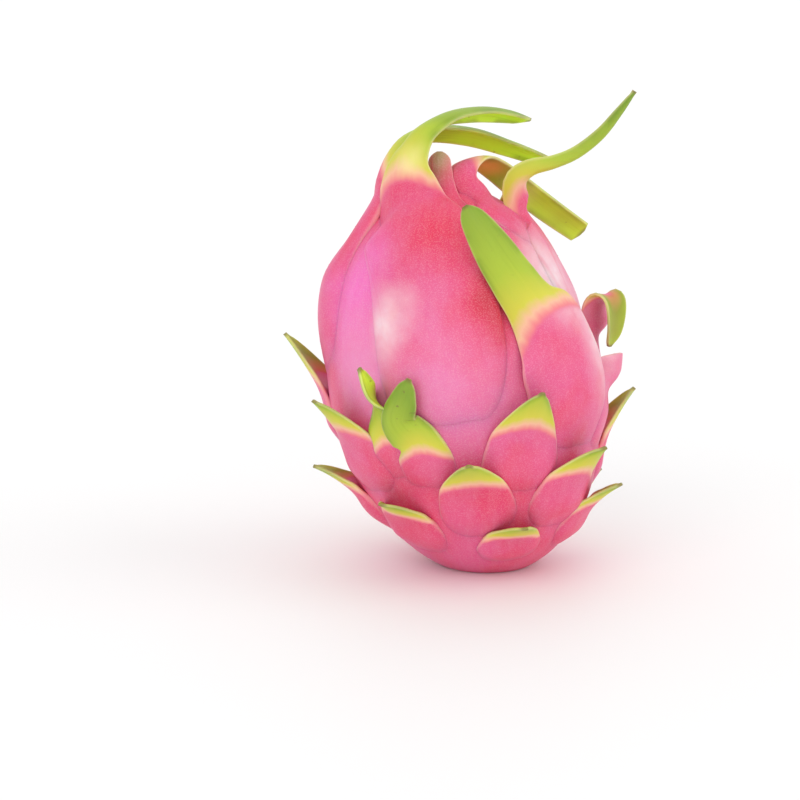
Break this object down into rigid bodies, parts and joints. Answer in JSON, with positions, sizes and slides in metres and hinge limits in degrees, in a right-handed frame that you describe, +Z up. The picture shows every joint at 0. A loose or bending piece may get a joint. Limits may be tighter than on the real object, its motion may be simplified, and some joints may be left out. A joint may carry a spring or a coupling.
{
  "type": "dragon fruit",
  "caption": "Whole pink dragon fruit with long green bracts curling over its crown, standing on its stem end.",
  "frame": {"origin": "middle of the small flat that the fruit rests on, at its stem end", "axes": "+Z up from the stem end to the crown; -Y is the side the picture shows; +X is to the right in that view"},
  "size_m": [0.1229, 0.1196, 0.1646],
  "materials": {
    "dragon_fruit_skin": "waxy satin pink skin, bracts turning yellow-green to their tips"
  },
  "bodies": {
    "root": {"dragon_fruit": "dragon_fruit_skin"}
  },
  "joints": []
}
